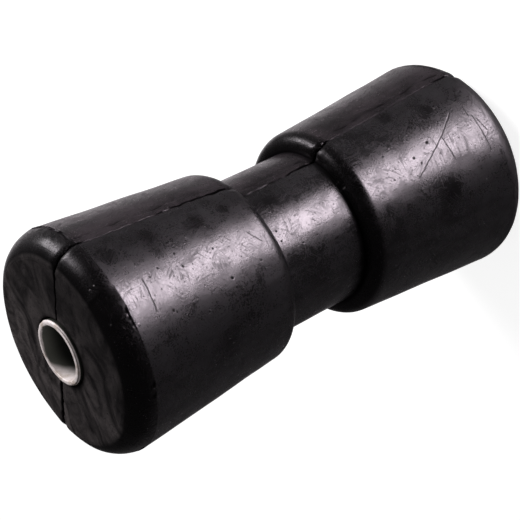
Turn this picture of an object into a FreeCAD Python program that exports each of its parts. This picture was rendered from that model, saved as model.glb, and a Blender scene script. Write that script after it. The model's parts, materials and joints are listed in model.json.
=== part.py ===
# Boat trailer roller: a moulded rubber body with two tapered barrels and a
# narrower waist, bonded onto a galvanised steel tube that the spindle runs in.
# Millimetres. The roller stands on one end: +Z is its axis, the origin is the
# centre of the lower tube end, and the mould's parting plane is the XZ plane.

import FreeCAD, Part
import math
import os

# Steel tube
tube_outer_diameter = 25.4
tube_wall = 2.0
tube_proud = 1.5              # how far it stands out of each rubber end face
tube_chamfer = 0.4

# Rubber body, with radii taken where the sharp corners would be
rubber_length = 197.0         # end face to end face
waist_length = 38.4           # between the two shoulder faces
waist_radius = 31.4
shoulder_height = 6.6         # step from the waist up to the barrel
barrel_rise = 6.6             # how much the barrel's radius grows towards its end
end_round = 8.6
shoulder_flat = 0.9           # flat ring left between the waist and the shoulder round
round_tolerance = 0.035       # how near the turned bands come to a true round

# Mouth of the rubber around the tube
mouth_flare = 0.7
mouth_depth = 1.2

# Lip that the mould's end cap leaves around each barrel, below the end round
lip_height = 0.25
lip_width = 1.0

# Trimmed flash along the parting plane, on both sides of the body
strip_height = 0.3
strip_width = 3.0

# Notches where the rubber drew back from the parting line at every round
notch_width = 1.4
notch_depth = 1.6
notch_overrun = 6.0           # degrees past each end of the round

# Shallow groove that joins the notches across each end face
groove_width = 0.8
groove_depth = 0.6

# Sizes that follow
tube_outer_radius = tube_outer_diameter / 2
bore_radius = tube_outer_radius - tube_wall
tube_length = rubber_length + 2 * tube_proud
middle_height = tube_length / 2
half_rubber = rubber_length / 2
half_waist = waist_length / 2
barrel_length = half_rubber - half_waist
shoulder_radius = waist_radius + shoulder_height
rim_radius = shoulder_radius + barrel_rise
shoulder_round = shoulder_height - shoulder_flat
taper = math.atan2(barrel_rise, barrel_length)

# Where the end round's arc runs out on the end face and on the barrel
end_reach = end_round * math.tan(math.pi / 4 + taper / 2)
lip_top = half_rubber - end_reach * math.cos(taper)
lip_bottom = lip_top - lip_width

# The same for the shoulder round
shoulder_reach = shoulder_round * math.tan(math.pi / 4 - taper / 2)
barrel_start = half_waist + shoulder_reach * math.cos(taper)

origin = FreeCAD.Vector(0, 0, 0)
along_x = FreeCAD.Vector(1, 0, 0)
along_y = FreeCAD.Vector(0, 1, 0)
along_z = FreeCAD.Vector(0, 0, 1)


def barrel_radius(height):
    """Radius of the barrel's straight line at a height above the middle."""
    return shoulder_radius + (height - half_waist) * math.tan(taper)


def round_points(before, corner, after, size):
    """Points on the arc of the given radius that is tangent to both lines at a corner."""
    to_before = (before - corner).normalize()
    to_after = (after - corner).normalize()
    half_angle = to_before.getAngle(to_after) / 2
    reach = size / math.tan(half_angle)
    centre = corner + (to_before + to_after).normalize() * (size / math.sin(half_angle))
    first = corner + to_before * reach - centre
    last = corner + to_after * reach - centre
    turn = math.pi - 2 * half_angle
    bands = math.ceil(turn / (2 * math.acos(1 - round_tolerance / size)))
    points = []
    for step in range(bands + 1):
        share = step / bands
        spoke = first * math.sin((1 - share) * turn) + last * math.sin(share * turn)
        points.append(centre + spoke * (1 / math.sin(turn)))
    return points


def turned(corners):
    """Solid turned about the axis from (radius, height, round) corners of a closed outline."""
    sharp = [FreeCAD.Vector(0, radius, height) for radius, height, size in corners]
    sizes = [size for radius, height, size in corners]
    points = []
    for index, size in enumerate(sizes):
        if size > 0:
            after = sharp[(index + 1) % len(sharp)]
            points += round_points(sharp[index - 1], sharp[index], after, size)
        else:
            points.append(sharp[index])
    outline = Part.makePolygon(points + points[:1])
    return Part.Face(outline).revolve(origin, along_z, 360)


def rubber_blank():
    """The body as it would be without its parting line, centred on the origin."""
    lip_slope = lip_height                  # the lip's lower edge rises at 45 degrees
    upper_half = [
        (waist_radius, half_waist, 0),
        (shoulder_radius, half_waist, shoulder_round),
        (barrel_radius(lip_bottom), lip_bottom, 0),
        (barrel_radius(lip_bottom) + lip_height, lip_bottom + lip_slope, 0),
        (barrel_radius(lip_top) + lip_height, lip_top, 0),
        (rim_radius, half_rubber, end_round),
        (tube_outer_radius + mouth_flare, half_rubber, 0),
        (tube_outer_radius, half_rubber - mouth_depth, 0),
    ]
    lower_half = [(radius, -height, size) for radius, height, size in reversed(upper_half)]
    return turned(upper_half + lower_half)


def parting_strips():
    """Trimmed flash on the waist and both barrels: slices of slightly larger turned shapes."""
    slab = Part.makeBox(2 * rim_radius, strip_width, rubber_length)
    slab.translate(FreeCAD.Vector(-rim_radius, -strip_width / 2, -half_rubber))
    core_radius = waist_radius - strip_height       # sinks the strips a little into the body
    core = Part.makeCylinder(core_radius, rubber_length, FreeCAD.Vector(0, 0, -half_rubber))
    two_sides = slab.cut(core)
    waist_bottom = FreeCAD.Vector(0, 0, -half_waist)
    waist = Part.makeCylinder(waist_radius + strip_height, waist_length, waist_bottom)
    start_radius = barrel_radius(barrel_start) + strip_height
    end_radius = barrel_radius(lip_top) + strip_height
    barrel_bottom = FreeCAD.Vector(0, 0, barrel_start)
    barrel = Part.makeCone(start_radius, end_radius, lip_top - barrel_start, barrel_bottom)
    shapes = [waist, barrel, barrel.mirror(origin, along_z)]
    return [shape.common(two_sides) for shape in shapes]


def round_notch(centre_radius, centre_height, round_size, from_angle, to_angle):
    """V cut that follows a round's arc in the parting plane, angles in degrees up from +X."""
    margin = 2 * (strip_height + lip_height)
    half_mouth = notch_width / 2 * (notch_depth + margin) / notch_depth
    corners = [
        FreeCAD.Vector(round_size - notch_depth, 0, 0),
        FreeCAD.Vector(round_size + margin, -half_mouth, 0),
        FreeCAD.Vector(round_size + margin, half_mouth, 0),
    ]
    section = Part.Face(Part.makePolygon(corners + corners[:1]))
    section.rotate(origin, along_y, -from_angle)
    cut = section.revolve(origin, along_y, from_angle - to_angle)
    cut.translate(FreeCAD.Vector(centre_radius, 0, centre_height))
    return cut


def end_groove():
    """V groove straight across the upper end face, in the parting plane."""
    margin = groove_depth                   # how far the cutter stands over the face
    half_mouth = groove_width / 2 * (groove_depth + margin) / groove_depth
    corners = [
        FreeCAD.Vector(-rim_radius, 0, half_rubber - groove_depth),
        FreeCAD.Vector(-rim_radius, -half_mouth, half_rubber + margin),
        FreeCAD.Vector(-rim_radius, half_mouth, half_rubber + margin),
    ]
    section = Part.Face(Part.makePolygon(corners + corners[:1]))
    return section.extrude(FreeCAD.Vector(2 * rim_radius, 0, 0))


def parting_cuts():
    """Every notch and groove of the parting plane."""
    taper_degrees = math.degrees(taper)
    end_centre = (rim_radius - end_reach, half_rubber - end_round)
    over_end = round_notch(*end_centre, end_round, 90 + notch_overrun, -taper_degrees - notch_overrun)
    shoulder_centre = (shoulder_radius - shoulder_reach, half_waist + shoulder_round)
    over_shoulder = round_notch(*shoulder_centre, shoulder_round,
                                notch_overrun - taper_degrees, -90 - notch_overrun)
    upper_side = [over_end, over_shoulder]
    upper_half = upper_side + [cut.mirror(origin, along_x) for cut in upper_side] + [end_groove()]
    return upper_half + [cut.mirror(origin, along_z) for cut in upper_half]


def rubber_roller():
    """The one-piece rubber moulding, raised so that the tube's lower end is at height zero."""
    body = rubber_blank().fuse(parting_strips()).cut(parting_cuts())
    body.translate(FreeCAD.Vector(0, 0, middle_height))
    return body


def steel_tube():
    """The galvanised tube, with its cut ends lightly chamfered."""
    lower_half = [
        (bore_radius, tube_chamfer, 0),
        (bore_radius + tube_chamfer, 0, 0),
        (tube_outer_radius - tube_chamfer, 0, 0),
        (tube_outer_radius, tube_chamfer, 0),
    ]
    upper_half = [(radius, tube_length - height, size) for radius, height, size in reversed(lower_half)]
    return turned(lower_half + upper_half)


nodes = {
    "rubber_roller": rubber_roller(),
    "steel_tube": steel_tube(),
}

os.makedirs("parts", exist_ok=True)
for name, shape in nodes.items():
    solid = shape.Solids[0]
    solid.exportStep(f"parts/{name}.step")
    print(name, "valid", solid.isValid(), "solids", len(shape.Solids), "faces", len(solid.Faces),
          "volume", round(solid.Volume), "mm3")
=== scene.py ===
import bpy
import json
import math
import numpy as np
from mathutils import Matrix, Vector

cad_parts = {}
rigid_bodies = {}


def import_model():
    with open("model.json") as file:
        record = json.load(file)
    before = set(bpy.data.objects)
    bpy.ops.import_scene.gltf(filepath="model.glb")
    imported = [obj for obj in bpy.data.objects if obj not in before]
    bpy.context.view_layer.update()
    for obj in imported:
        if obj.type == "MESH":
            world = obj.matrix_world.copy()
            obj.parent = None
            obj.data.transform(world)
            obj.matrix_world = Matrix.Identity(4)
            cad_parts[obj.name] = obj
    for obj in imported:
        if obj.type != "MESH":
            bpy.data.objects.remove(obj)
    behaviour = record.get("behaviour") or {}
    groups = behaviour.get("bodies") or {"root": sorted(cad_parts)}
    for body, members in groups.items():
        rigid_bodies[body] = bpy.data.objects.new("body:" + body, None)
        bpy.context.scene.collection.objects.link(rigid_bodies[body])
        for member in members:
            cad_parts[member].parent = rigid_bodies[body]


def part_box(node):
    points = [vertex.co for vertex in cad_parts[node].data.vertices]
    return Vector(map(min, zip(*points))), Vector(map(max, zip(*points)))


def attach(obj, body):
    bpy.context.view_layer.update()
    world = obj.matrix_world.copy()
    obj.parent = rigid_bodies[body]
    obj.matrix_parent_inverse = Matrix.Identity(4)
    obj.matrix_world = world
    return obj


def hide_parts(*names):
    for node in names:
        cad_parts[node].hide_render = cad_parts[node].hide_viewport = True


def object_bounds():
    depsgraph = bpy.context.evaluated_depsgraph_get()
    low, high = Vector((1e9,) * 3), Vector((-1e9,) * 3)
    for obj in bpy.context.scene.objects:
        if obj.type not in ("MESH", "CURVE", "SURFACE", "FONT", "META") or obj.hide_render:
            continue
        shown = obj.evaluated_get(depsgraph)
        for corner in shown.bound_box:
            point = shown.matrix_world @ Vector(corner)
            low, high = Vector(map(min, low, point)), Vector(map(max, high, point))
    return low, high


# Boat trailer roller standing on one end: a moulded black rubber body on a galvanised steel tube.
# Metres, with +Z along the axis. The mould's parting plane is the XZ plane.

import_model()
cadLow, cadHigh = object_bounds()
bodyLow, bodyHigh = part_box("rubber_roller")
tubeLow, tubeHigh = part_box("steel_tube")
middleHeight = (bodyLow.z + bodyHigh.z) / 2
halfRubber = (bodyHigh.z - bodyLow.z) / 2
halfTube = (tubeHigh.z - tubeLow.z) / 2
tubeRadius = tubeHigh.x
mm = 0.001
print("frame loaded")


# Shared shape helpers

def ramp(low, high, value):
    # 0 below low, 1 above high, and 3t^2 - 2t^3 between them
    share = np.clip((value - low) / (high - low), 0, 1)
    return share * share * (3 - 2 * share)


def bell(value, centre, width):
    # 1 at the centre, falling as exp(-(distance / width)^2)
    return np.exp(-(((value - centre) / width) ** 2))


def addObject(name, data):
    added = bpy.data.objects.new(name, data)
    bpy.context.scene.collection.objects.link(added)
    return added


def placesAlong(length, count, closeness):
    # count places that share out the running sum of closeness evenly, so they crowd where it is high
    fine = np.linspace(0, length, 60 * count + 1)
    weight = closeness(fine)
    steps = (weight[1:] + weight[:-1]) / 2 * np.diff(fine)
    runningSum = np.concatenate([[0], np.cumsum(steps)])
    return np.interp(np.arange(count) / count * runningSum[-1], runningSum, fine)


def unevenness(angle, height, cell, seed, radius=40 * mm, waves=28):
    # Smooth field of about unit size: cosine waves roughly one cell long, each with a random heading
    # and a whole number of turns round the axis, added up
    rng = np.random.default_rng(seed)
    total = np.zeros(np.broadcast(angle, height).shape)
    for wave in range(waves):
        pitch = 2 * math.pi / cell * rng.uniform(0.55, 1.5)
        heading = rng.uniform(0, 2 * math.pi)
        turns = round(pitch * math.cos(heading) * radius)
        total += np.cos(turns * angle + pitch * math.sin(heading) * height + rng.uniform(0, 2 * math.pi))
    return total * math.sqrt(2 / waves)


def wavering(place, cell, seed, waves=12):
    # The same along a line: waves of about one cell that only depend on the place along it
    rng = np.random.default_rng(seed)
    total = 0 * place
    for wave in range(waves):
        pitch = 2 * math.pi / cell * rng.uniform(0.5, 1.6)
        total = total + np.cos(pitch * place + rng.uniform(0, 2 * math.pi))
    return total * math.sqrt(2 / waves)


def bend(first, last, firstHeading, lastHeading, count=60):
    # Curve whose heading turns evenly and whose radius of curvature is a + b t, with a and b chosen so that
    # it runs from first to last; where a true round fits, b comes out as zero
    share = np.linspace(0, 1, count)
    heading = firstHeading + (lastHeading - firstHeading) * share
    step = np.stack([np.cos(heading), np.sin(heading)], axis=1)

    def runningSum(values):
        middles = (values[1:] + values[:-1]) / 2 / (count - 1)
        return np.concatenate([np.zeros((1, 2)), np.cumsum(middles, axis=0)])
    even, growing = runningSum(step), runningSum(step * share[:, None])
    weights = np.linalg.solve(np.stack([even[-1], growing[-1]], axis=1), np.subtract(last, first))
    return first + weights[0] * even + weights[1] * growing


def turnedGrid(upperHalf, rowCount, rowCloseness):
    # Rows along a closed outline made of an upper half of named (radius, height) stretches and its mirror
    # image. Gives one value per row: radius, height, outward normal, distance along the outline, and the
    # share of each named stretch, softened over about half a millimetre.
    lowerHalf = [(name, np.array(points)[::-1] * (1, -1)) for name, points in reversed(upperHalf)]
    stretches = upperHalf + lowerHalf
    outline, shares, starts = [], {}, [0.0]
    for name, points in stretches:
        points = np.array(points, float)
        outline.append(points if not outline else points[1:])
        starts.append(starts[-1] + np.hypot(*np.diff(points, axis=0).T).sum())
    outline = np.concatenate(outline)
    length = np.concatenate([[0], np.cumsum(np.hypot(*np.diff(outline, axis=0).T))])

    def at(place, column):
        return np.interp(place % length[-1], length, outline[:, column])
    rows = placesAlong(length[-1], rowCount, lambda place: rowCloseness(at(place, 0), at(place, 1)))
    look, soft = 0.15 * mm, 0.35 * mm
    for index, (name, _) in enumerate(stretches):
        inside = 1.0 if index == 0 else ramp(starts[index] - soft, starts[index] + soft, rows)
        if index < len(stretches) - 1:
            inside = inside * ramp(starts[index + 1] + soft, starts[index + 1] - soft, rows)
        shares[name] = shares.get(name, 0) + (inside * np.ones(rowCount))[:, None]
    alongRadius = at(rows + look, 0) - at(rows - look, 0)
    alongHeight = at(rows + look, 1) - at(rows - look, 1)
    size = np.hypot(alongRadius, alongHeight)
    return {"radius": at(rows, 0)[:, None], "height": at(rows, 1)[:, None], "place": rows[:, None],
            "outRadius": (alongHeight / size)[:, None], "outHeight": (-alongRadius / size)[:, None],
            "shares": shares}


def closedRing(name, grid, angle, rise, recess):
    # Moves each point by rise along its normal, turns it about the axis, and joins rows and columns
    # end to end, so the surface is a ring with no open edge. Kept inside the CAD model's box. The material
    # reads recess, which is 1 in cracks and cuts, and paints it dark there as painted shade.
    radius = grid["radius"] + rise * grid["outRadius"]
    height = grid["height"] + rise * grid["outHeight"] + 0 * angle
    points = np.stack([radius * np.cos(angle), radius * np.sin(angle), height + middleHeight], axis=-1)
    points = np.clip(points, np.array(cadLow), np.array(cadHigh))
    rowCount, columnCount = points.shape[:2]
    number = np.arange(rowCount * columnCount).reshape(rowCount, columnCount)
    nextColumn, nextRow = np.roll(number, -1, axis=1), np.roll(number, -1, axis=0)
    quads = np.stack([number, nextColumn, np.roll(nextColumn, -1, axis=0), nextRow], axis=-1)
    mesh = bpy.data.meshes.new(name)
    mesh.vertices.add(number.size)
    mesh.vertices.foreach_set("co", points.astype(np.float32).ravel())
    mesh.loops.add(quads.size)
    mesh.loops.foreach_set("vertex_index", quads.astype(np.int32).ravel())
    mesh.polygons.add(number.size)
    mesh.polygons.foreach_set("loop_start", np.arange(0, quads.size, 4, dtype=np.int32))
    mesh.update(calc_edges=True)
    mesh.validate()
    mesh.shade_smooth()
    stored = mesh.attributes.new("recess", "FLOAT", "POINT")
    stored.data.foreach_set("value", np.broadcast_to(recess, number.shape).astype(np.float32).ravel())
    return addObject(name, mesh)


# Rubber body: a turned outline with what the mould left on it

rubber = {
    "waistRadius": 31.4 * mm,
    "waistLength": 38.4 * mm,
    "shoulderHeight": 6.6 * mm,
    "barrelRise": 6.6 * mm,       # growth of the barrel's radius towards its end
    "shoulderRound": 5.7 * mm,
    "endRound": 8.6 * mm,
    "endCorner": 12,              # degrees by which the end round starts at a slight corner
    "mouthFlare": 0.7 * mm,
    "mouthDepth": 1.2 * mm,
    "lipHeight": 0.07 * mm,
    "lipWidth": 0.45 * mm,
    "cutDepth": 0.17 * mm,        # where the lip is torn
    "standingCut": 0.2 * mm,      # above the flash that stands up
    "flakeDepth": 0.1 * mm,
    "lineWander": 0.12 * mm,      # of the parting line about its given places
    "crackWidth": 0.5 * mm,
    "stripHeight": 0.07 * mm,
    "stripWidth": 2.8 * mm,
    "ridgeHeight": 0.1 * mm,      # of the flash at the strip's edge
    "slitDepth": 0.13 * mm,       # beside that ridge
    "notchDepth": 1.5 * mm,
    "notchWidth": 1.4 * mm,
    "rollIn": 0.5 * mm,           # of the rounds towards a notch
    "waviness": 0.06 * mm,
    "sunkFace": 0.07 * mm,        # how far the flat faces lie below their edge on one side
    "sunkToward": 55,             # degrees round the axis
    "rows": 292,                  # shared out by how far apart they are on each part of the outline
    "rowPitch": {"plain": 2.05 * mm, "face": 1.5 * mm, "bore": 14 * mm, "endRound": 0.62 * mm,
                 "shoulder": 0.52 * mm, "mouth": 0.3 * mm, "faceEdge": 0.24 * mm, "lip": 0.15 * mm},
    "columns": 340,
    "columnPitch": (1.8 * mm, 0.85 * mm),       # plain, and between fineFrom and fineTo
    "fineFrom": -108,             # degrees round the axis
    "fineTo": 62,
    "closeColumns": [             # pitch, centre beside the parting line, reach and fade to either side
        (0.12 * mm, 0, 0.75 * mm, 0.5 * mm),
        (0.17 * mm, 2.7 * mm, 0.5 * mm, 0.5 * mm),
        (0.34 * mm, 0, 2.2 * mm, 1 * mm),
    ],
}

# Where the parting line runs, as height above the middle and offset from the parting plane in millimetres,
# on the +X side and on the -X side, and how deep its crack is
frontLine = [
    (-98.5, 0.6), (-92, 0.1), (-80, 1), (-62, 0.9), (-50, 0.4), (-24, 0.5), (-14, 0.9), (0, 0.3), (18, -0.1),
    (30, 0.6), (44, 1), (60, 0.6), (84, 0.3), (88.5, 0.8), (91.5, 1.6), (96, 1.7), (98.4, 2.1),
]
backLine = [(-98.5, 0.8), (-60, 0.2), (0, -0.4), (60, 0.3), (98, 1.1)]
crackDepth = [
    (-93, 0.8), (-84, 0.5), (-78, 0.2), (-70, 0.15), (-27, 0.17), (-23, 0.8), (-18, 1.1), (-10, 0.8),
    (-4, 0.3), (14, 0.17), (18, 0.8), (22, 1.6), (27, 1.4), (34, 1), (44, 0.6), (52, 0.25), (86, 0.13),
    (90, 0.7),
]

# Angles in degrees round the axis about which the lip is torn, its flash stands up, or there is hardly a
# lip, and how far to each side
tornLip = [(-43, 6), (-78, 4), (-126, 6), (80, 7), (150, 10)]
standingLip = [(25, 18), (-170, 14)]
smoothLip = [(-13, 13)]

halfWaist = rubber["waistLength"] / 2
shoulderRadius = rubber["waistRadius"] + rubber["shoulderHeight"]
rimRadius = shoulderRadius + rubber["barrelRise"]
taper = math.atan2(rubber["barrelRise"], halfRubber - halfWaist)
endReach = rubber["endRound"] * math.tan(math.pi / 4 + taper / 2)
faceRadius = rimRadius - endReach
lipRadius = rimRadius - endReach * math.sin(taper)
lipTop = halfRubber - endReach * math.cos(taper)


def bodyOutline():
    # Upper half, from the middle of the waist over the barrel and the end face and back down the bore
    reach = rubber["shoulderRound"] * math.tan(math.pi / 4 - taper / 2)
    stepEnd = (shoulderRadius - reach, halfWaist)
    barrelStart = (shoulderRadius + reach * math.sin(taper), halfWaist + reach * math.cos(taper))
    lip = (lipRadius, lipTop)
    faceStart = (faceRadius, halfRubber)
    mouthEdge = (tubeRadius + rubber["mouthFlare"], halfRubber)
    boreTop = (tubeRadius, halfRubber - rubber["mouthDepth"])
    uphill = math.pi / 2 - taper
    return [
        ("waist", [(rubber["waistRadius"], 0), (rubber["waistRadius"], halfWaist)]),
        ("step", [(rubber["waistRadius"], halfWaist), stepEnd]),
        ("shoulder", bend(stepEnd, barrelStart, 0, uphill)),
        ("barrel", [barrelStart, lip]),
        ("end", bend(lip, faceStart, uphill + math.radians(rubber["endCorner"]), math.pi)),
        ("face", [faceStart, mouthEdge]),
        ("mouth", [mouthEdge, boreTop]),
        ("bore", [boreTop, (tubeRadius, 0)]),
    ]


def bodyRowCloseness(radius, height):
    # Rows per metre: close at the lips, the rounds and the mouths, wide on the barrels and in the bore.
    # Where two parts overlap, the later one counts.
    tall = np.abs(height)
    flatFrom = halfRubber - 0.02 * mm
    roundTo = halfWaist + rubber["shoulderRound"] + 1 * mm
    beside = np.abs(radius - faceRadius - 0.5 * mm)
    places = {
        "face": tall > flatFrom,
        "bore": radius < tubeRadius + 0.1 * mm,
        "endRound": (tall > lipTop) & (tall < flatFrom) & (radius > faceRadius),
        "shoulder": (tall > halfWaist - 0.5 * mm) & (tall < roundTo) & (radius > 20 * mm),
        "mouth": (tall > halfRubber - 1.6 * mm) & (radius < tubeRadius + 1.2 * mm)
        & (radius > tubeRadius + 0.05 * mm),
        "faceEdge": (tall > halfRubber - 0.3 * mm) & (beside < 0.8 * mm),
        "lip": (np.abs(tall - lipTop - 0.1 * mm) < 1.4 * mm) & (radius > 40 * mm),
    }
    pitch = rubber["rowPitch"]["plain"]
    for name, there in places.items():
        pitch = np.where(there, rubber["rowPitch"][name], pitch)
    return 1 / pitch


def bodyColumns():
    # Columns round the axis, with 0 on the parting line: very close at the crack and at both edges of the
    # strip beside it, fairly close on the fine side
    fineFrom, fineTo = (math.radians(rubber[key]) for key in ("fineFrom", "fineTo"))
    plain, fine = rubber["columnPitch"]

    def closeness(angle):
        turned = (angle + math.pi) % (2 * math.pi) - math.pi
        across = np.sin(turned) * rimRadius
        inFine = ramp(fineFrom - 0.1, fineFrom, turned) * ramp(fineTo + 0.1, fineTo, turned)
        perMetre = 1 / plain + inFine * (1 / fine - 1 / plain)
        for pitch, centre, reach, fade in rubber["closeColumns"]:
            beyond = np.maximum(np.abs(across - centre) - reach, 0)
            perMetre = np.maximum(perMetre, (1 / pitch) * bell(beyond, 0, fade))
        return perMetre * rimRadius
    return placesAlong(2 * math.pi, rubber["columns"], closeness)[None, :]


def readLine(line, height):
    places, values = np.array(line).T * mm
    return np.interp(height, places, values)


def followLine(grid, columns):
    # Turns the columns so that those at 0 and at half a turn run along the parting line: the line's offset
    # gives the angle asin(offset / radius), and the turn fades out to nothing 60 degrees away
    lines = []
    angle = columns + 0 * grid["height"]
    for side, line in enumerate((frontLine, backLine)):
        wander = rubber["lineWander"] * wavering(grid["place"], 7 * mm, 3 + side)
        offset = readLine(line, grid["height"]) + wander
        aside = (columns - side * math.pi + math.pi) % (2 * math.pi) - math.pi
        fade = ramp(math.radians(60), 0, np.abs(aside))
        angle = angle + (1 - 2 * side) * np.arcsin(offset / grid["radius"]) * fade
        lines.append(offset)
    across = grid["radius"] * np.sin(angle)
    front = np.cos(angle) > 0
    return angle, np.where(front, across - lines[0], across - lines[1]), front


def nearPlaces(angle, places):
    # 1 within each place's reach, fading out over four degrees at its edges
    total = 0
    for centre, reach in places:
        aside = np.abs((np.degrees(angle) - centre + 180) % 360 - 180)
        total = np.maximum(total, ramp(reach + 2.5, reach - 1.5, aside))
    return total


def lipRise(angle, height):
    # A fine ridge under the slight corner of each end round, uneven in height and place; where the lip is
    # torn it has a small ragged cut above it. Gives the rise and how much of the point is in the cut, which
    # the material paints dark as shade.
    standing, plain = nearPlaces(angle, standingLip), nearPlaces(angle, smoothLip)
    total, cut = 0, 0

    def uneven(cell, seed):       # with the cell in millimetres
        return unevenness(angle, 0 * angle, cell * mm, seed)
    for seed, side in enumerate((1, -1)):
        tall = height * side
        wear = 1 - 0.7 * seed     # less at the lower end
        torn = nearPlaces(angle, tornLip) * wear
        ragged = uneven(1.9, 13 + seed)
        wander = (0.1 * uneven(6, 11 + seed) + 0.05 * ragged + 0.12 * torn * ragged) * mm
        size = np.clip(0.55 + 0.35 * uneven(3.1, 15 + seed) + 0.4 * torn * ragged, 0, 1.6)
        size = size + standing * np.clip(1.3 + 0.9 * ragged, 0.2, 3)
        size = size * (1 - 0.9 * plain) * (1 - 0.6 * seed)
        width = rubber["lipWidth"] * (1 - 0.35 * standing)
        ridge = rubber["lipHeight"] * size * bell(tall, lipTop - 0.2 * mm + wander, width)
        opened = torn * ramp(-0.9, 0.3, ragged)
        middle = lipTop + 0.5 * mm + 2 * wander
        depth = rubber["cutDepth"] * opened + rubber["standingCut"] * standing
        total = total + ridge - depth * bell(tall, middle, 0.3 * mm)
        # The cut, and the groove above flash that stands up, are painted dark as shade
        dark = np.maximum(opened, wear * standing * ramp(-1.6, 0.1, ragged))
        cut = cut + dark * ramp(0.95 * mm, 0.4 * mm, np.abs(tall - middle))
    # Where there is hardly a lip, and at the lower end, a filling d tan(corner) exp(-d / 3 mm), with d the
    # distance past the lip, takes the corner away
    past = np.maximum(-height - lipTop, 0) + plain * np.maximum(height - lipTop, 0)
    total = total + past * math.tan(math.radians(rubber["endCorner"])) * np.exp(-past / (3 * mm))
    return total, cut


def flakes(angle, height):
    # Shallow torn patches on the rounds above the torn lip: an uneven field cut off at a level
    field = unevenness(angle, height, 3.2 * mm, 31) + 0.4 * unevenness(angle, height, 1.3 * mm, 32)
    window = nearPlaces(angle, tornLip + standingLip) * bell(np.abs(height), lipTop + 2.2 * mm, 1.9 * mm)
    return rubber["flakeDepth"] * window * ramp(0.25, 0.5, field)


def partingSide(grid, across, seed):
    # Along one parting line: a low trimmed strip with a fine ridge of flash and a slit at its edge, a crack,
    # notches that roll in over the rounds, and a groove across the flat faces. Gives rise and recess, which
    # the material paints dark as shade.
    height, shares, away = grid["height"], grid["shares"], np.abs(across)
    onSide, onRound, onFlat = (shares[first] + shares[second] for first, second in
                               (("barrel", "waist"), ("end", "shoulder"), ("face", "step")))
    onFar = ramp(-20 * mm, -30 * mm, height)

    def waver(cell, number):      # with the cell in millimetres
        return wavering(grid["place"], cell * mm, number + seed)
    width = rubber["stripWidth"] * (1 + 0.1 * waver(26, 41))
    fromEdge = across - width - (0.07 * mm * waver(2.4, 43) + 0.05 * mm * waver(6, 44))
    raised = rubber["stripHeight"] * (0.75 + 0.4 * waver(16, 45)) * (1 - 0.35 * onFar)
    strip = raised * ramp(-0.25 * mm, 0.15 * mm, across) * ramp(0.2 * mm, -0.2 * mm, fromEdge)
    flash = ramp(-0.4, 1.1, waver(12, 51) + 0.7 * waver(2.5, 52))
    ridge = rubber["ridgeHeight"] * (0.3 + 0.7 * flash) * bell(fromEdge, 0, 0.22 * mm)
    slit = np.clip(flash + 0.3 * onFar, 0, 1) * bell(fromEdge, 0.5 * mm, (0.34 + 0.12 * onFar) * mm)
    depth = readLine(crackDepth, height) * (0.85 + 0.25 * waver(5, 53))
    halfCrack = rubber["crackWidth"] / 2 * (1 + 1.6 * ramp(0.3 * mm, 1.6 * mm, depth))
    crack = np.clip(1 - away / halfCrack, 0, 1)
    crackMark = ramp(0, 0.3 * mm, depth) * ramp(halfCrack + 0.34 * mm, halfCrack + 0.06 * mm, away)
    narrowing = shares["end"] * ramp(lipTop + 3.5 * mm, lipTop, np.abs(height))
    halfNotch = rubber["notchWidth"] / 2 * (1 - 0.5 * narrowing)
    notch = np.clip(1 - away / halfNotch, 0, 1)
    rollIn = rubber["rollIn"] * bell(away, 0, 1.4 * mm) - 0.1 * mm * bell(away, 2.6 * mm, 1.1 * mm)
    wide = ramp(27 * mm, 36 * mm, grid["radius"]) * (1 - seed) + 1.2 * seed
    halfGroove = (0.55 + 0.4 * wide) * mm * (0.9 + 0.15 * waver(5, 55))
    groove = np.clip(1 - away / halfGroove, 0, 1)
    grooveDepth = (0.35 + 0.45 * wide) * mm
    rise = onSide * (strip + ridge - rubber["slitDepth"] * slit - depth * crack ** 0.7) \
        - onRound * (rubber["notchDepth"] * notch ** 0.9 + rollIn * (1 - 0.6 * narrowing)) \
        - onFlat * (grooveDepth * groove ** 0.8 + 0.05 * mm * bell(away, 0, 1.2 * mm))
    # The crack, the slit beside the ridge, the notches and the grooves are painted dark as shade
    recess = onSide * (crackMark + slit) + onRound * ramp(0, 0.5, notch) + onFlat * ramp(0, 0.5, groove)
    return rise, recess


def partingRise(grid, across, front, columns):
    # Both parting lines; what follows them fades out 18 to 24 degrees to each side
    total, recess = 0, 0
    for seed, side in enumerate((front, ~front)):
        rise, dark = partingSide(grid, across, seed)
        total, recess = total + side * rise, recess + side * dark
    aside = np.abs((columns + math.pi / 2) % math.pi - math.pi / 2)
    nearLine = ramp(math.radians(24), math.radians(18), aside)
    return total * nearLine, recess * nearLine


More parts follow.
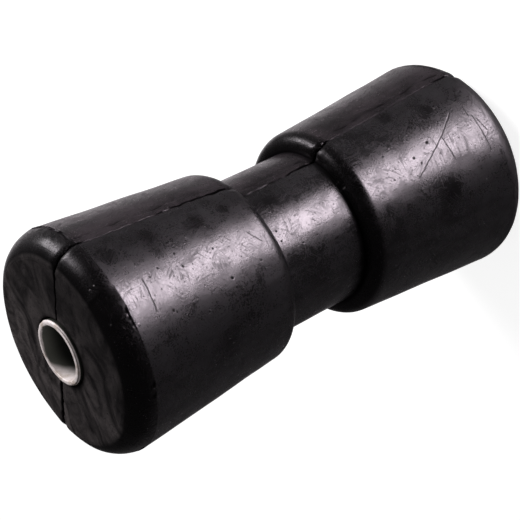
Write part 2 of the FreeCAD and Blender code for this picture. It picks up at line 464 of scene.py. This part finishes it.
def makeRubberBody():
    grid = turnedGrid(bodyOutline(), rubber["rows"], bodyRowCloseness)
    columns = bodyColumns()
    angle, across, front = followLine(grid, columns)
    height, radius, shares = grid["height"] + 0 * angle, grid["radius"], grid["shares"]
    broad = rubber["waviness"] * unevenness(angle, height, 34 * mm, 1)
    small = 0.2 * rubber["waviness"] * unevenness(angle, height, 9 * mm, 2)
    skin = (broad + small) * (1 - shares["bore"] - shares["mouth"] - 0.6 * shares["face"])
    lip, cut = lipRise(angle, height)
    nearLip = shares["barrel"] + shares["end"]
    partingLift, recess = partingRise(grid, across, front, columns)
    # The flat faces lie a little below their edge for part of the way round
    sunk = rubber["sunkFace"] \
        * ramp(0.25, 0.75, np.cos(angle - math.radians(rubber["sunkToward"]))) \
        * ramp(faceRadius + 1 * mm, faceRadius + 0.6 * mm, radius) \
        * (shares["face"] + shares["end"]) * ramp(tubeRadius + 3 * mm, tubeRadius + 6 * mm, radius)
    rise = skin + nearLip * (lip - flakes(angle, height)) - sunk + partingLift
    # Painted shade too: round the tube, and in the corner where the waist meets the step
    mouth = shares["mouth"] + shares["face"] * bell(radius, tubeRadius + 0.5 * mm, 0.7 * mm)
    corner = bell(np.abs(height), halfWaist, 0.9 * mm) * bell(radius, rubber["waistRadius"], 1.3 * mm)
    recess = recess + nearLip * cut + mouth + 0.9 * corner
    return closedRing("rubberBody", grid, angle, rise, np.clip(recess, 0, 1))


rubberPiece = makeRubberBody()
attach(rubberPiece, "root")
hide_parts("rubber_roller")
print("rubber body:", len(rubberPiece.data.polygons), "quads")


# Galvanised tube: a sawn, lightly deburred pipe

tube = {
    "wall": 2.0 * mm,
    "outerRound": 0.85 * mm,
    "innerRound": 0.45 * mm,
    "wear": 0.03 * mm,            # of its edges
    "edgeLineToward": -75,            # degrees round the axis about which a dark line runs on the outer edge
    "rows": 112,
    "rowPitch": (0.22 * mm, 11 * mm),           # near the ends, and between them
    "columns": 168,
}


def makeTube():
    # Rectangle outline with rounded corners, turned; the sawn ends and edges are a little uneven
    inner = tubeRadius - tube["wall"]
    outer, small = tube["outerRound"], tube["innerRound"]
    outsideTop, sawnStart = (tubeRadius, halfTube - outer), (tubeRadius - outer, halfTube)
    sawnEnd, insideTop = (inner + small, halfTube), (inner, halfTube - small)
    upperHalf = [
        ("outside", [(tubeRadius, 0), outsideTop]),
        ("edge", bend(outsideTop, sawnStart, math.pi / 2, math.pi, 16)),
        ("sawn", [sawnStart, sawnEnd]),
        ("edge", bend(sawnEnd, insideTop, math.pi, 3 * math.pi / 2, 12)),
        ("inside", [insideTop, (inner, 0)]),
    ]
    close, wide = tube["rowPitch"]

    def closeness(radius, height):
        return np.where(np.abs(height) > halfTube - 2.5 * mm, 1 / close, 1 / wide)
    grid = turnedGrid(upperHalf, tube["rows"], closeness)
    height, edge = grid["height"], grid["shares"]["edge"]
    turns = np.arange(tube["columns"]) / tube["columns"]
    angle = (turns * 2 * math.pi)[None, :] + 0 * height
    nearEnd = ramp(halfTube - 4 * mm, halfTube, np.abs(height))
    worn = unevenness(angle, height + 0 * angle, 4 * mm, 61, 12 * mm)
    # A dark line runs part of the way round the outer edge
    line = bell(grid["radius"], tubeRadius - 0.28 * mm, 0.15 * mm) \
        * ramp(0, 0.5, np.cos(angle - math.radians(tube["edgeLineToward"])))
    rise = -tube["wear"] * nearEnd * (1 + worn) * edge
    return closedRing("galvanisedTube", grid, angle, rise, line * edge)


tubePiece = makeTube()
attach(tubePiece, "root")
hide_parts("steel_tube")
print("tube:", len(tubePiece.data.polygons), "quads")


# Node helpers

def addNode(tree, kind, values=None, **settings):
    node = tree.nodes.new("ShaderNode" + kind)
    for key, value in settings.items():
        setattr(node, key, value)
    for key, value in (values or {}).items():
        if isinstance(value, bpy.types.Node):
            value = value.outputs[0]
        if isinstance(value, bpy.types.NodeSocket):
            tree.links.new(value, node.inputs[key])
        else:
            node.inputs[key].default_value = value
    return node


def compute(tree, operation, first, second=0.0, clamp=False):
    return addNode(tree, "Math", {0: first, 1: second}, operation=operation, use_clamp=clamp).outputs[0]


def product(tree, first, second):
    return compute(tree, "MULTIPLY", first, second)


def plus(tree, first, second):
    return compute(tree, "ADD", first, second)


def minus(tree, first, second):
    return compute(tree, "SUBTRACT", first, second)


def larger(tree, first, second):
    return compute(tree, "MAXIMUM", first, second)


def computeVector(tree, operation, first, second=(0, 0, 0)):
    # The dot product and the length come out as a value
    node = addNode(tree, "VectorMath", {0: first, 1: second}, operation=operation)
    return node.outputs["Value" if operation in ("DOT_PRODUCT", "LENGTH") else "Vector"]


def split(tree, vector):
    return addNode(tree, "SeparateXYZ", {0: vector}).outputs


def rotated(tree, vector, angle):
    values = {"Vector": vector, "Angle": angle}
    return addNode(tree, "VectorRotate", values, rotation_type="Z_AXIS").outputs[0]


def ease(tree, value, low, high, toLow=0.0, toHigh=1.0):
    values = {"Value": value, "From Min": low, "From Max": high, "To Min": toLow, "To Max": toHigh}
    return addNode(tree, "MapRange", values, interpolation_type="SMOOTHSTEP").outputs["Result"]


def noise(tree, place, scale, detail=2.0, roughness=0.5, distortion=0.0, output="Fac"):
    values = {"Vector": place, "Scale": scale, "Detail": detail, "Roughness": roughness,
              "Distortion": distortion}
    return addNode(tree, "TexNoise", values).outputs[output]


def blendValue(tree, share, first, second):
    return addNode(tree, "Mix", {0: share, 2: first, 3: second}).outputs[0]


def blendColour(tree, share, first, second):
    return addNode(tree, "Mix", {0: share, 6: first, 7: second}, data_type="RGBA").outputs[2]


def newGroup(name, vectors, floats, result, resultKind="Float"):
    tree = bpy.data.node_groups.new(name, "ShaderNodeTree")
    for labels, kind in ((vectors, "Vector"), (floats, "Float")):
        for label in labels:
            tree.interface.new_socket(label, in_out="INPUT", socket_type="NodeSocket" + kind)
    tree.interface.new_socket(result, in_out="OUTPUT", socket_type="NodeSocket" + resultKind)
    inside, outside = tree.nodes.new("NodeGroupInput"), tree.nodes.new("NodeGroupOutput")
    return tree, inside.outputs, outside.inputs[result]


def placeGroup(tree, group, values):
    return addNode(tree, "Group", values, node_tree=group).outputs[0]


def newMaterial(name):
    material = bpy.data.materials.new(name)
    material.use_nodes = True
    material.node_tree.nodes.clear()
    return material, material.node_tree


def makeUnrolled():
    # Object coordinates unrolled about the axis: how far round at a set radius, height, true radius
    tree, given, result = newGroup("unrolled", ["Place"], ["Radius"], "Unrolled", "Vector")
    parts = split(tree, given["Place"])
    angle = compute(tree, "ARCTAN2", parts["Y"], parts["X"])
    around = product(tree, angle, given["Radius"])
    squares = plus(tree, compute(tree, "POWER", parts["X"], 2.0), compute(tree, "POWER", parts["Y"], 2.0))
    radius = compute(tree, "SQRT", squares)
    made = addNode(tree, "CombineXYZ", {"X": around, "Y": parts["Z"], "Z": radius})
    tree.links.new(made.outputs[0], result)
    return tree


def makeSpeckle():
    # Scattered round spots: the distance to the nearest random point, kept for a share of the points
    tree, given, result = newGroup("speckle", ["Place"], ["Scale", "Size", "Share"], "Spots")
    cells = addNode(tree, "TexVoronoi", {"Vector": given["Place"], "Scale": given["Scale"]}).outputs
    chance = addNode(tree, "SeparateColor", {0: cells["Color"]}).outputs
    kept = compute(tree, "LESS_THAN", chance[0], given["Share"])
    grown = product(tree, given["Size"], plus(tree, chance[1], 0.4))
    spot = ease(tree, compute(tree, "DIVIDE", cells["Distance"], grown), 1.0, 0.5)
    tree.links.new(product(tree, spot, kept), result)
    return tree


def makeFineLines():
    # Fine scratches lying one way: where a noise drawn out along one direction crosses its middle value,
    # in patches
    tree, given, result = newGroup("fineLines", ["Place"], ["Turn", "Scale"], "Lines")
    askew = rotated(tree, given["Place"], given["Turn"])
    drawnOut = computeVector(tree, "MULTIPLY", askew, (0.07, 1, 0.4))
    waves = noise(tree, drawnOut, given["Scale"], 1.0)
    line = ease(tree, compute(tree, "ABSOLUTE", minus(tree, waves, 0.5)), 0.045, 0.0)
    patches = ease(tree, noise(tree, askew, 130.0, 1.0), 0.47, 0.62)
    tree.links.new(product(tree, line, patches), result)
    return tree


def makeStroke():
    # One scratch, or a spot where Run is zero: 1 within Width of the line from Start along Run, on the
    # unrolled place
    tree, given, result = newGroup("stroke", ["Place", "Start", "Run"], ["Width"], "Mark")
    flat = computeVector(tree, "MULTIPLY", given["Place"], (1, 1, 0))
    offset = computeVector(tree, "SUBTRACT", flat, given["Start"])
    along = computeVector(tree, "DOT_PRODUCT", offset, given["Run"])
    square = computeVector(tree, "DOT_PRODUCT", given["Run"], given["Run"])
    share = compute(tree, "DIVIDE", along, plus(tree, square, 1e-9), clamp=True)
    foot = addNode(tree, "VectorMath", {0: given["Run"], "Scale": share}, operation="SCALE")
    distance = computeVector(tree, "LENGTH", computeVector(tree, "SUBTRACT", offset, foot))
    relative = compute(tree, "DIVIDE", distance, given["Width"])
    tree.links.new(ease(tree, relative, 1.0, 0.2), result)
    return tree


unrolledGroup = makeUnrolled()
speckleGroup = makeSpeckle()
fineLinesGroup = makeFineLines()
strokeGroup = makeStroke()


# Rubber: black, finely mottled and scratched in the light, dustier and duller on its end faces

rubberFinish = {
    "colour": (0.0020, 0.0018, 0.0019, 1),
    "filmColour": (0.033, 0.0255, 0.0295, 1),     # a thin film of dust on the sides
    "lowFilmColour": (0.022, 0.0205, 0.0223, 1),  # darker, below the front parting line
    "faceColour": (0.07, 0.06, 0.06, 1),
    # crackColour is painted shade in cracks, pits, scratches and the recess mask
    "crackColour": (0.0012, 0.0011, 0.0012, 1),
    "dustColour": (0.20, 0.18, 0.19, 1),
    "tint": (1.0, 0.905, 0.985, 1),   # of its gloss
    "barrelRoughness": 0.29,
    "farRoughness": 0.25,             # on the lower barrel
    "waistRoughness": 0.24,
    "roundRoughness": 0.27,
    "lowRoundRoughness": 0.45,        # on the round at the lower end
    "smoothRoughness": 0.15,          # in the dark patches without dust
    "faceRoughness": 0.46,
    "deepRoughness": 0.6,             # of cracks, pits and scratches
    "endRoughness": 0.07,             # added towards the lower end
    "cloud": (70, 3, 0.6),            # a noise's scale, detail, roughness and distortion
    "patches": (210, 3, 0.6),
    "mottle": (1 / (0.65 * mm), 3, 0.62),
    "grain": (2300, 1),
    "alongAxis": (260, 3, 0.65),      # drawn out along the axis, and round it
    "aroundAxis": (1200, 2, 0.6),
    "swirls": (85, 4, 0.55, 1.7),
    "swirlTurn": -36,                 # degrees
    "fineLines": [(0.12, 800), (0.95, 950), (-0.7, 1000), (1.5, 900)],      # turn in radians, scale
    "finePits": (330, 0.13, 0.4),     # scale, size and share
    "specks": (900, 0.3, 0.42),
    "dust": (170, 0.05, 0.3),
    "mottleHeight": 0.038 * mm,
    "grainHeight": 0.012 * mm,
    "markDepth": 0.1 * mm,
    "wobble": 0.4 * mm,               # of the marks' edges, to each side
    "wobbleScale": 260,
    "markRadius": 40 * mm,            # at which a mark is as wide as given
}

# Marks, placed by degrees round the axis and millimetres above the middle, with half a scratch's width or
# a spot's radius in millimetres
scratches = [
    ((-29.5, 78.5), (-36, 79), 0.4), ((-36, 79), (-45.5, 79.5), 0.36),
    ((-21, -75.5), (-30, -66), 0.42), ((-30, -66), (-45, -47.5), 0.3),
    ((-30.5, -65.5), (-39, -66), 0.32), ((-39, -66), (-45, -66.5), 0.4),
    ((-27.5, -83.5), (-38, -83.5), 0.3), ((-38, -83.5), (-48.5, -83.5), 0.42),
    ((-20.5, -82.5), (-27, -82), 0.34), ((-30, -84.5), (-38, -86), 0.26),
    ((-30, 31), (-37.5, 27.5), 0.26),
]
pits = [
    (-29.5, -58.5, 0.9), (-34, -49.5, 0.85), (-38.5, -51.5, 0.6), (-23, -51.5, 0.6),
    (-25, -38, 0.6), (-40, -37, 0.5), (-49, 0, 0.65), (-49.5, 7, 0.75),
    (-34.5, 15.5, 0.6), (-42, 15.5, 0.55), (-47.5, 46, 0.85), (-57, 60, 0.7),
    (-46.5, 31.5, 0.8), (-24.5, 62, 0.6), (-32, 62, 0.65), (-30, 47.5, 0.55),
    (-27.5, 71, 0.55), (-48.5, 73.5, 0.85), (-50, 72.5, 0.6),
]
crumbs = [
    (-47, 88, 0.6), (-45, 89, 0.45), (-39, 89, 0.4), (-77, 90, 0.4), (-22.5, 78, 0.4), (-19, 54, 0.5),
    (-17.5, 44.5, 0.35), (-22.5, 96, 0.4), (-22, 94.5, 0.4), (-41.5, 96, 0.35), (5.5, 12.5, 0.4),
    (-29.5, -19, 0.6), (-24, -19, 0.45), (-14, -71.5, 0.5), (-61.5, -77, 0.5), (-56.5, 59.5, 0.5),
    (-65, 15, 0.35),
]
smoothPatches = [
    (-13.5, 47, 7), (-10.5, 66.5, 4.5), (-11.5, 84.5, 5.5), (-12, 33, 3.5), (-12, 10, 6.5),
    (-13, -68, 4.5), (-4.5, -52, 4.5), (-57.5, -59.5, 9),
]


def makeRubber(finish):
    material, tree = newMaterial("mouldedRubber")
    place = addNode(tree, "TexCoord").outputs["Object"]
    unrolled = placeGroup(tree, unrolledGroup, {"Place": place, "Radius": finish["markRadius"]})
    parts = split(tree, place)
    fromMiddle = minus(tree, parts["Z"], middleHeight)
    distance = compute(tree, "ABSOLUTE", fromMiddle)
    onFace = ease(tree, distance, halfRubber - 0.5 * mm, halfRubber - 0.03 * mm)
    onRound = ease(tree, distance, lipTop - 0.1 * mm, lipTop + 0.5 * mm)
    onShoulder = product(tree, ease(tree, distance, halfWaist - 0.4 * mm, halfWaist),
                         ease(tree, distance, halfWaist + 7 * mm, halfWaist + 3.5 * mm))
    onBend = larger(tree, onRound, onShoulder)
    recess = addNode(tree, "Attribute", attribute_name="recess").outputs["Fac"]

    cloud = noise(tree, place, *finish["cloud"])
    patches = noise(tree, place, *finish["patches"])
    mottle = noise(tree, place, *finish["mottle"])
    grain = noise(tree, place, *finish["grain"])
    alongAxis = noise(tree, computeVector(tree, "MULTIPLY", unrolled, (1, 0.16, 1)), *finish["alongAxis"])
    aroundAxis = noise(tree, computeVector(tree, "MULTIPLY", unrolled, (0.04, 1, 1)), *finish["aroundAxis"])
    askew = rotated(tree, place, math.radians(finish["swirlTurn"]))
    swirls = noise(tree, computeVector(tree, "MULTIPLY", askew, (0.62, 1, 1)), *finish["swirls"])
    lines = None
    for turn, scale in finish["fineLines"]:
        found = placeGroup(tree, fineLinesGroup, {"Place": unrolled, "Turn": turn, "Scale": scale})
        lines = found if lines is None else larger(tree, lines, found)

    def speckled(scale, size, share):
        return placeGroup(tree, speckleGroup, {"Place": place, "Scale": scale, "Size": size, "Share": share})
    finePits = speckled(*finish["finePits"])
    specks = speckled(*finish["specks"])
    dust = speckled(*finish["dust"])

    # The noise moves places by 0 to twice the wobble, so marks are shifted by the wobble to stay put
    shift = finish["wobble"]
    wobble = noise(tree, unrolled, finish["wobbleScale"], output="Color")
    bent = addNode(tree, "VectorMath", {0: wobble, 1: (2 * shift, 2 * shift, 0), 2: unrolled},
                   operation="MULTIPLY_ADD")

    def spot(degrees, height):
        around = math.radians(degrees) * finish["markRadius"]
        return Vector((around + shift, height * mm + middleHeight + shift, 0))

    def joined(marks):
        total = None
        for start, run, width in marks:
            values = {"Place": bent, "Start": start, "Run": run, "Width": width * mm}
            mark = placeGroup(tree, strokeGroup, values)
            total = mark if total is None else larger(tree, total, mark)
        return total

    def spots(places):
        return joined([(spot(degrees, height), Vector(), radius) for degrees, height, radius in places])

    cuts = joined([(spot(*start), spot(*end) - spot(*start), width) for start, end, width in scratches])
    holes = spots(pits)
    hollow = larger(tree, product(tree, cuts, 0.65), holes)
    raised = spots(crumbs)
    smooth = product(tree, spots(smoothPatches), ease(tree, patches, 0.32, 0.5, 0.35, 0.9))
    # Cracks, pits and scratches let hardly any light out, also as gloss: they are set to a black metal,
    # because a metal reflects no more than its colour
    faint = larger(tree, product(tree, larger(tree, cuts, finePits), 0.5),
                   product(tree, larger(tree, lines, specks), 0.25))
    deep = larger(tree, larger(tree, holes, recess), faint)

    # Heights and depths as shares of markDepth
    unit = finish["markDepth"]
    calm = product(tree, ease(tree, onBend, 0, 1, 1, 0.3), ease(tree, smooth, 0, 1, 1, 0.3))
    fine = plus(tree, product(tree, mottle, finish["mottleHeight"] / unit),
                product(tree, grain, finish["grainHeight"] / unit))
    fine = minus(tree, fine, product(tree, specks, 0.35))
    height = product(tree, fine, calm)
    height = plus(tree, height, product(tree, product(tree, aroundAxis, onBend), 0.3))
    for mark, depth in ((lines, 0.05), (finePits, 0.3), (hollow, 0.8)):
        height = minus(tree, height, product(tree, mark, depth))
    height = plus(tree, height, product(tree, raised, 0.7))
    bump = addNode(tree, "Bump", {"Strength": 1.0, "Distance": unit, "Height": height})

    rough = ease(tree, fromMiddle, -halfWaist - 1 * mm, -halfWaist,
                 finish["farRoughness"], finish["waistRoughness"])
    rough = plus(tree, rough, ease(tree, fromMiddle, halfWaist, halfWaist + 1 * mm,
                                   0.0, finish["barrelRoughness"] - finish["waistRoughness"]))
    uneven = plus(tree, ease(tree, cloud, 0.3, 0.7, -0.03, 0.03),
                  ease(tree, patches, 0.3, 0.7, -0.038, 0.038))
    uneven = plus(tree, uneven, ease(tree, mottle, 0.32, 0.68, -0.06, 0.06))
    rough = plus(tree, rough, uneven)
    rough = plus(tree, rough, ease(tree, fromMiddle, -55 * mm, -80 * mm, 0.0, finish["endRoughness"]))
    rough = blendValue(tree, product(tree, smooth, 0.85), rough, finish["smoothRoughness"])
    rough = blendValue(tree, onRound, rough, ease(tree, fromMiddle, -60 * mm, -80 * mm,
                                                  finish["roundRoughness"], finish["lowRoundRoughness"]))
    rough = blendValue(tree, onFace, rough, finish["faceRoughness"])
    rough = plus(tree, rough, product(tree, larger(tree, lines, hollow), 0.12))
    rough = blendValue(tree, deep, rough, finish["deepRoughness"])

    # The flat faces' streaks are lighter towards -X and +Y
    lean = minus(tree, product(tree, parts["Y"], 0.6), parts["X"])
    faceGradient = ease(tree, lean, -38 * mm, 34 * mm, 0.4, 1.2)
    faceTone = blendColour(tree, product(tree, ease(tree, swirls, 0.22, 0.76), faceGradient),
                           finish["colour"], finish["faceColour"])
    around = split(tree, unrolled)["X"]
    film = product(tree, ease(tree, alongAxis, 0.3, 0.62, 0.3, 1.0), ease(tree, cloud, 0.3, 0.6, 0.35, 1.0))
    film = product(tree, film, ease(tree, larger(tree, smooth, onBend), 0, 1, 1, 0))
    filmTone = blendColour(tree, ease(tree, around, -0.6 * mm, 1.2 * mm),
                           finish["lowFilmColour"], finish["filmColour"])
    colour = blendColour(tree, film, finish["colour"], filmTone)
    colour = blendColour(tree, onFace, colour, faceTone)
    pale = larger(tree, product(tree, dust, 0.4), product(tree, raised, 0.5))
    colour = blendColour(tree, pale, colour, finish["dustColour"])
    colour = blendColour(tree, deep, colour, finish["crackColour"])
    shader = addNode(tree, "BsdfPrincipled", {
        "Base Color": colour, "Roughness": rough, "Metallic": deep, "Normal": bump,
        "Specular Tint": finish["tint"]})
    addNode(tree, "OutputMaterial", {"Surface": shader})
    return material


# Zinc: bright, faintly pink-white, mottled grey; in the bore a little dirty, with painted shade that darkens
# it deeper in and painted light on the side where light falls in

zincFinish = {
    "brightColour": (0.92, 0.83, 0.83, 1),
    "dullColour": (0.76, 0.67, 0.66, 1),
    "boreDirtShadeColour": (0.16, 0.165, 0.145, 1),      # dirt and painted shade in the bore near its end
    "boreShadeColour": (0.024, 0.025, 0.021, 1),       # painted shade from deepFrom inwards, and on the outside where it goes into the rubber
    "deepFrom": 8 * mm,
    "edgeLineColour": (0.05, 0.035, 0.03, 1),
    "tarnishColour": (0.56, 0.46, 0.4, 1),        # brownish spots on its clean end
    "brightDepth": 0.6 * mm,           # how far the bore keeps its bright colour from its end; painted shade past it
    "litSideDepth": 6.5 * mm,          # how far it reaches on the side where light falls in, as painted light
    "litSideToward": 214,              # degrees round the axis, of the side where light falls in
    "outsideBright": (0.6 * mm, 1.05 * mm),      # how far from its end the outside keeps its bright colour, then painted shade
    "metallic": 0.15,
    "edgeWander": 2 * mm,             # of the edge of the bore's bright part
    "roughness": (0.5, 0.34),         # dull and bright
    "patch": (420, 3, 0.6),           # a noise's scale, detail and roughness
    "fine": (1900, 2),
    "stains": (150, 2),
    "bumpHeight": 0.05 * mm,
}


def makeZinc(finish):
    material, tree = newMaterial("galvanisedZinc")
    place = addNode(tree, "TexCoord").outputs["Object"]
    patch = noise(tree, place, *finish["patch"])
    fine = noise(tree, place, *finish["fine"])
    stains = noise(tree, place, *finish["stains"])
    distance = compute(tree, "ABSOLUTE", minus(tree, split(tree, place)["Z"], middleHeight))
    toward = math.radians(finish["litSideToward"])
    sideways = computeVector(tree, "DOT_PRODUCT", place, (math.cos(toward), math.sin(toward), 0))
    inner = tubeRadius - tube["wall"]
    # The bright colour reaches deeper on the side where light falls in: painted light there, painted shade
    # past it
    reach = ease(tree, sideways, 0.3 * inner, 1.0 * inner, finish["brightDepth"], finish["litSideDepth"])
    depth = minus(tree, halfTube, distance)
    uneven = plus(tree, depth, product(tree, minus(tree, stains, 0.5), finish["edgeWander"]))
    unrolled = split(tree, placeGroup(tree, unrolledGroup, {"Place": place, "Radius": inner}))
    outside = ease(tree, unrolled["Z"], inner + 0.2 * mm, inner + 0.8 * mm)
    brightTo, shadeFrom = finish["outsideBright"]
    brightShare = blendValue(tree, outside, ease(tree, compute(tree, "DIVIDE", uneven, reach), 1.5, 0.2),
                       ease(tree, depth, shadeFrom, brightTo))
    colour = blendColour(tree, ease(tree, patch, 0.35, 0.65), finish["dullColour"], finish["brightColour"])
    tarnish = product(tree, ease(tree, stains, 0.5, 0.66), ease(tree, fine, 0.3, 0.62, 0.35, 1.0))
    colour = blendColour(tree, tarnish, colour, finish["tarnishColour"])
    # Dirt and painted shade in the bore, darker deeper in, and painted shade on the outside where it goes
    # into the rubber
    dirtAndShade = blendColour(tree, ease(tree, depth, 1 * mm, finish["deepFrom"]),
                        finish["boreDirtShadeColour"], finish["boreShadeColour"])
    dirtAndShade = blendColour(tree, outside, dirtAndShade, finish["boreShadeColour"])
    colour = blendColour(tree, brightShare, dirtAndShade, colour)
    recess = addNode(tree, "Attribute", attribute_name="recess").outputs["Fac"]
    colour = blendColour(tree, recess, colour, finish["edgeLineColour"])
    rough = ease(tree, patch, 0.3, 0.7, *finish["roughness"])
    height = plus(tree, product(tree, patch, 0.6), product(tree, fine, 0.4))
    bump = addNode(tree, "Bump", {"Strength": 1.0, "Distance": finish["bumpHeight"], "Height": height})
    shader = addNode(tree, "BsdfPrincipled", {
        "Base Color": colour, "Roughness": rough, "Metallic": finish["metallic"], "Normal": bump})
    addNode(tree, "OutputMaterial", {"Surface": shader})
    return material


rubberPiece.data.materials.append(makeRubber(rubberFinish))
tubePiece.data.materials.append(makeZinc(zincFinish))
print("materials made")


# Floor: pale, seen as white by the camera, with the roller's shadow on it

floorFinish = {
    "size": 6.0,
    "below": 0.02 * mm,               # under the roller's end, so that the two faces aren't one
    "albedo": 0.4,
    "whiteLift": 0.84,                # light of its own that the camera and gloss see
}


def makeFloor():
    half = floorFinish["size"] / 2
    corners = [(-half, -half, 0), (half, -half, 0), (half, half, 0), (-half, half, 0)]
    mesh = bpy.data.meshes.new("floor")
    mesh.from_pydata(corners, [], [(0, 1, 2, 3)])
    floor = addObject("floor", mesh)
    floor.location.z = -floorFinish["below"]
    material, tree = newMaterial("paleFloor")
    rays = addNode(tree, "LightPath").outputs
    mirrored = plus(tree, rays["Is Glossy Ray"], rays["Is Transmission Ray"])
    seen = compute(tree, "ADD", rays["Is Camera Ray"], mirrored, clamp=True)
    lift = addNode(tree, "Emission", {"Strength": product(tree, seen, floorFinish["whiteLift"])})
    matte = addNode(tree, "BsdfDiffuse", {"Color": (floorFinish["albedo"],) * 3 + (1,)})
    both = addNode(tree, "AddShader", {0: lift, 1: matte})
    addNode(tree, "OutputMaterial", {"Surface": both})
    mesh.materials.append(material)
    floor.visible_glossy = False      # gloss on the roller shows the studio round it instead


makeFloor()
print("floor made")


# Light: big soft boxes. Those in the world are only seen in gloss, so that they leave the plain level alone

studio = {
    "plainLevel": 0.28,               # what all but gloss and the camera see
    "glossLow": 0.08,                 # what gloss sees below and above the horizon
    "glossHigh": 0.03,
    "glossTint": (1, 0.95, 0.98, 1),
    "box": {"azimuth": -31, "elevation": -35, "sideways": (9, 23), "above": (8, 20), "below": (8, 30),
            "swing": 10.5, "swingFrom": -34, "swingTo": -45, "strength": 21.5},
    "glows": [                        # azimuth, elevation, inner and outer angle in degrees, strength
        (65, -18, 25, 75, 0.09),
        (119, -30, 5, 37, 0.62),
    ],
    "bars": [                         # a direction for each end, width in metres, power, seen in gloss
        ((74, 17), (36, 38), 0.26, 3.6, True),
        ((70, 24), (50, 32), 0.5, 6.3, False),
    ],
    "barDistance": 0.9,
}


def direction(azimuth, elevation):
    azimuth, elevation = math.radians(azimuth), math.radians(elevation)
    level = math.cos(elevation)
    return Vector((math.cos(azimuth) * level, math.sin(azimuth) * level, math.sin(elevation)))


def facing(right, up, back, place):
    # Turns an object's own X, Y and Z to three directions and puts it in its place
    return Matrix([(right[k], up[k], back[k], place[k]) for k in range(3)] + [(0, 0, 0, 1)])


def makeWorld():
    world = bpy.data.worlds.new("studio")
    bpy.context.scene.world = world
    world.use_nodes = True
    world.cycles.sampling_method = "NONE"
    tree = world.node_tree
    tree.nodes.clear()
    toward = addNode(tree, "TexCoord").outputs["Generated"]
    parts = split(tree, toward)
    total = ease(tree, parts["Z"], -0.25, 0.15, studio["glossLow"], studio["glossHigh"])
    for azimuth, elevation, inner, outer, strength in studio["glows"]:
        nearness = computeVector(tree, "DOT_PRODUCT", toward, direction(azimuth, elevation))
        low, high = math.cos(math.radians(outer)), math.cos(math.radians(inner))
        total = plus(tree, total, ease(tree, nearness, low, high, 0.0, strength))

    # The box is a window in azimuth and elevation with soft edges, whose lower part swings round a little
    box = studio["box"]
    middle = math.radians(box["elevation"])
    upward = compute(tree, "ARCSINE", parts["Z"])
    swing = ease(tree, upward, math.radians(box["swingFrom"]), math.radians(box["swingTo"]),
                 0.0, math.radians(box["swing"]))
    around = minus(tree, compute(tree, "ARCTAN2", parts["Y"], parts["X"]), swing)
    aside = compute(tree, "ABSOLUTE", minus(tree, around, math.radians(box["azimuth"])))
    window = box["strength"]
    for away, (inner, outer) in ((aside, box["sideways"]), (minus(tree, upward, middle), box["above"]),
                                 (minus(tree, middle, upward), box["below"])):
        window = product(tree, ease(tree, away, math.radians(outer), math.radians(inner)), window)
    total = plus(tree, total, window)
    rays = addNode(tree, "LightPath").outputs
    white = (1, 1, 1, 1)
    gloss = addNode(tree, "Background", {"Color": studio["glossTint"], "Strength": total})
    plain = addNode(tree, "Background", {"Color": white, "Strength": studio["plainLevel"]})
    empty = addNode(tree, "Background", {"Color": white, "Strength": 1.0})
    shown = addNode(tree, "MixShader", {0: rays["Is Glossy Ray"], 1: plain, 2: gloss})
    final = addNode(tree, "MixShader", {0: rays["Is Camera Ray"], 1: shown, 2: empty})
    addNode(tree, "OutputWorld", {"Surface": final})


def makeBar(name, fromPlace, toPlace, width, power, inGloss):
    # A long narrow area lamp, square to the line to the roller and tilted so that it runs between its two
    # directions
    start, end = direction(*fromPlace), direction(*toPlace)
    outward = (start + end).normalized()
    along = (end - start).normalized()
    data = bpy.data.lights.new(name, "AREA")
    data.shape = "RECTANGLE"
    data.size = 2 * studio["barDistance"] * math.tan(start.angle(end) / 2)
    data.size_y = width
    data.energy = power
    lamp = addObject(name, data)
    place = Vector((0, 0, middleHeight)) + outward * studio["barDistance"]
    lamp.matrix_world = facing(along, outward.cross(along), outward, place)
    lamp.visible_camera = False
    lamp.visible_glossy = inGloss


makeWorld()
for index, bar in enumerate(studio["bars"]):
    makeBar(f"bar{index}", *bar)
print("light made")


# Camera at the photograph's viewing angle: turned about its own axis, because the roller stands here

viewpoint = {
    "aim": (-3.107 * mm, -0.649 * mm, 106.777 * mm),
    "distance": 564.57 * mm,
    "azimuth": -42.17,
    "elevation": 31.68,
    "roll": -116.72,
    "lens": 101.23,
    "sensor": 36.0,
}


def makeCamera():
    data = bpy.data.cameras.new("camera")
    data.lens = viewpoint["lens"]
    data.sensor_width = viewpoint["sensor"]
    data.clip_start = 0.01
    data.clip_end = 50.0
    camera = addObject("camera", data)
    back = direction(viewpoint["azimuth"], viewpoint["elevation"])
    levelRight = Vector((0, 0, 1)).cross(back).normalized()
    levelUp = back.cross(levelRight)
    roll = math.radians(viewpoint["roll"])
    up = levelUp * math.cos(roll) - levelRight * math.sin(roll)
    place = Vector(viewpoint["aim"]) + back * viewpoint["distance"]
    camera.matrix_world = facing(up.cross(back), up, back, place)
    bpy.context.scene.camera = camera


makeCamera()
bpy.context.scene.view_settings.view_transform = "Standard"
print("camera made")
